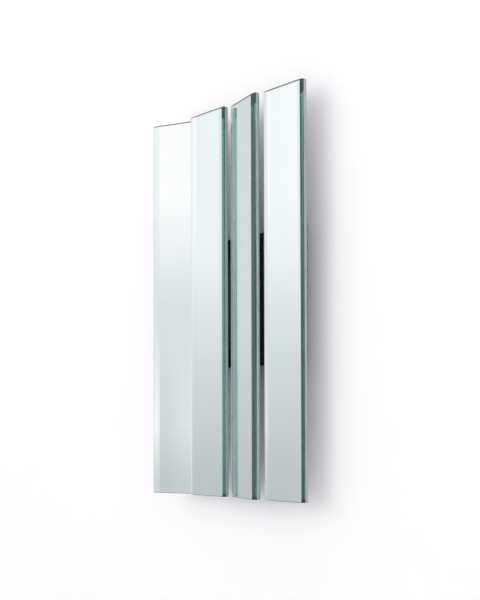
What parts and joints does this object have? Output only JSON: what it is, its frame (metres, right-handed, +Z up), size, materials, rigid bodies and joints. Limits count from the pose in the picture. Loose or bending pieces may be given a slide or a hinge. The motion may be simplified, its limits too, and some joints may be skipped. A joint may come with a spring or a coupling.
{
  "type": "pivoting strip wall mirror",
  "caption": "Tall wall mirror of upright bevelled strips, each turning on its own shaft in a black steel carrier behind them.",
  "frame": {"origin": "centre of the four wall-screw holes, on the wall plane behind the carrier", "axes": "+X right as the mirror is looked at, -Y out of the wall into the room, +Z up"},
  "size_m": [0.7001, 0.1101, 1.2],
  "materials": {
    "mirror_glass": "silvered clear glass with a slight green cast at the bevels",
    "board": "pale grey lacquered board with a smooth grey edge band",
    "black_coat": "fine matt black powder coat on steel",
    "plate_steel": "brushed steel",
    "shaft_steel": "ground steel",
    "zinc": "bright zinc plate",
    "bronze": "sintered bronze"
  },
  "bodies": {
    "carrier": {"tray": "black_coat", "top_brackets": "black_coat", "bottom_brackets": "black_coat", "bushes": "bronze", "bracket_bolts": "black_coat"},
    "strip_1": {"glass_1": "mirror_glass", "board_1": "board", "hinge_plate_1": "plate_steel", "plate_screws_1": "zinc", "upper_block_1": "plate_steel", "lower_block_1": "plate_steel", "block_screws_1": "zinc", "set_screws_1": "zinc", "stop_pins_1": "zinc", "shaft_1": "shaft_steel", "thrust_washer_1": "bronze", "disc_springs_1": "zinc", "lock_nut_1": "zinc"},
    "strip_2": {"glass_2": "mirror_glass", "board_2": "board", "hinge_plate_2": "plate_steel", "plate_screws_2": "zinc", "upper_block_2": "plate_steel", "lower_block_2": "plate_steel", "block_screws_2": "zinc", "set_screws_2": "zinc", "stop_pins_2": "zinc", "shaft_2": "shaft_steel", "thrust_washer_2": "bronze", "disc_springs_2": "zinc", "lock_nut_2": "zinc"},
    "strip_3": {"glass_3": "mirror_glass", "board_3": "board", "hinge_plate_3": "plate_steel", "plate_screws_3": "zinc", "upper_block_3": "plate_steel", "lower_block_3": "plate_steel", "block_screws_3": "zinc", "set_screws_3": "zinc", "stop_pins_3": "zinc", "shaft_3": "shaft_steel", "thrust_washer_3": "bronze", "disc_springs_3": "zinc", "lock_nut_3": "zinc"},
    "strip_4": {"glass_4": "mirror_glass", "board_4": "board", "hinge_plate_4": "plate_steel", "plate_screws_4": "zinc", "upper_block_4": "plate_steel", "lower_block_4": "plate_steel", "block_screws_4": "zinc", "set_screws_4": "zinc", "stop_pins_4": "zinc", "shaft_4": "shaft_steel", "thrust_washer_4": "bronze", "disc_springs_4": "zinc", "lock_nut_4": "zinc"}
  },
  "joints": [
    {"name": "strip_1_turn", "type": "hinge", "parent": "carrier", "child": "strip_1", "pos_m": [-0.27, -0.054, 0], "axis": [0, 0, 1], "range_deg": [-53.5, 6.5]},
    {"name": "strip_2_turn", "type": "hinge", "parent": "carrier", "child": "strip_2", "pos_m": [-0.09, -0.054, 0], "axis": [0, 0, 1], "range_deg": [-30, 30]},
    {"name": "strip_3_turn", "type": "hinge", "parent": "carrier", "child": "strip_3", "pos_m": [0.09, -0.054, 0], "axis": [0, 0, 1], "range_deg": [-16, 44]},
    {"name": "strip_4_turn", "type": "hinge", "parent": "carrier", "child": "strip_4", "pos_m": [0.27, -0.054, 0], "axis": [0, 0, 1], "range_deg": [-30, 30]}
  ]
}
